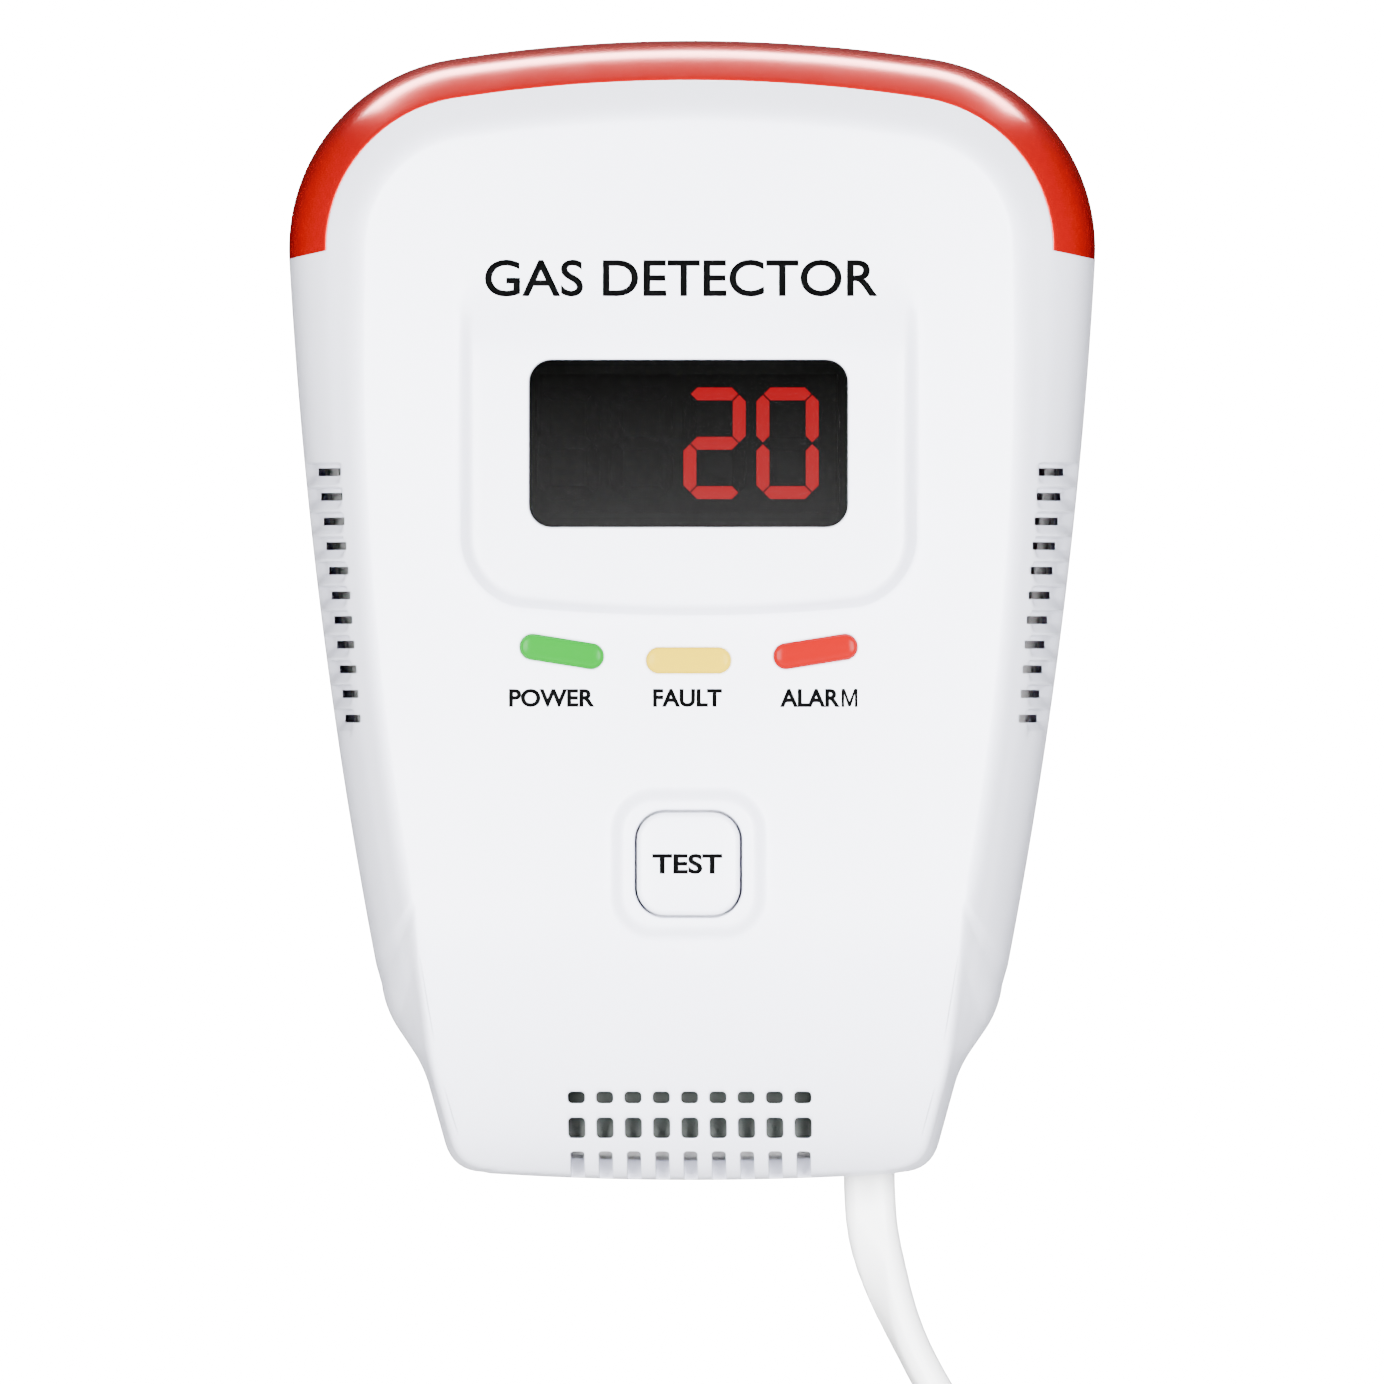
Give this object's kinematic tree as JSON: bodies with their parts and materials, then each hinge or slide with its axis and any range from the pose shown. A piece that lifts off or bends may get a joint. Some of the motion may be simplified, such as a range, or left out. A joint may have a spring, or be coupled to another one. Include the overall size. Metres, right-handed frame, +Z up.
{
  "type": "gas and carbon monoxide detector",
  "caption": "Wall-mounted corded gas and carbon monoxide detector: tapered two-part shell, strobe lens over the top, digital display, indicator lenses, test button and vents.",
  "frame": {"origin": "middle of the flat back, in the plane that lies against the wall", "axes": "+X to the viewer's right, +Y into the wall (the front faces -Y), +Z up"},
  "size_m": [0.0928, 0.0364, 0.2249],
  "materials": {
    "cover_white": "fine satin moulding",
    "housing_white": "satin moulding",
    "lens_red": "translucent polished red",
    "window_smoke": "polished smoked acrylic",
    "lens_green": "translucent green",
    "lens_yellow": "translucent yellow",
    "lens_alarm": "translucent red",
    "segment_red": "lit display segment",
    "button_white": "satin moulding",
    "black_plastic": "moulded black",
    "board_green": "solder-masked board",
    "led_cream": "moulded LED body",
    "can_metal": "drawn can",
    "screw_steel": "plated",
    "terminal_green": "moulded green",
    "capacitor_sleeve": "shrink sleeve",
    "wire_brown": "insulation",
    "cord_white": "satin flexible jacket",
    "tie_black": "soft strap",
    "plug_white": "moulded plug",
    "pin_metal": "nickel plated",
    "label_silver": "blank foil label"
  },
  "bodies": {
    "housing": {"rear_housing": "housing_white", "front_cover": "cover_white", "alarm_lens": "lens_red", "display_window": "window_smoke", "power_indicator": "lens_green", "fault_indicator": "lens_yellow", "alarm_indicator": "lens_alarm", "switch_body": "black_plastic", "main_board": "board_green", "display_module": "black_plastic", "display_segments": "segment_red", "indicator_leds": "led_cream", "strobe_leds": "led_cream", "microchips": "black_plastic", "buzzer": "black_plastic", "co_sensor": "can_metal", "gas_sensor": "can_metal", "power_module": "black_plastic", "capacitors": "capacitor_sleeve", "fuse": "led_cream", "terminal_block": "terminal_green", "lead_wires": "wire_brown", "board_screws": "screw_steel", "cover_screws": "screw_steel", "cord_clamp": "housing_white", "clamp_screws": "screw_steel", "cord_grommet": "housing_white", "rating_label": "label_silver", "cord": "cord_white", "cord_coil": "cord_white", "cord_tail": "cord_white", "coil_ties": "tie_black", "plug_body": "plug_white", "plug_pins": "pin_metal"},
    "button": {"test_button": "button_white"},
    "plunger": {"switch_plunger": "lens_alarm"}
  },
  "joints": [
    {"name": "test_press", "type": "slide", "parent": "housing", "child": "button", "axis": [0, 1, 0], "range_m": [0, 0.0008], "stiffness_N_per_m": 1800},
    {"name": "plunger_press", "type": "slide", "parent": "housing", "child": "plunger", "axis": [0, 1, 0], "range_m": [0, 0.001]}
  ],
  "couplings": [
    {"joint": "plunger_press", "follows": "test_press", "ratio": 1}
  ]
}
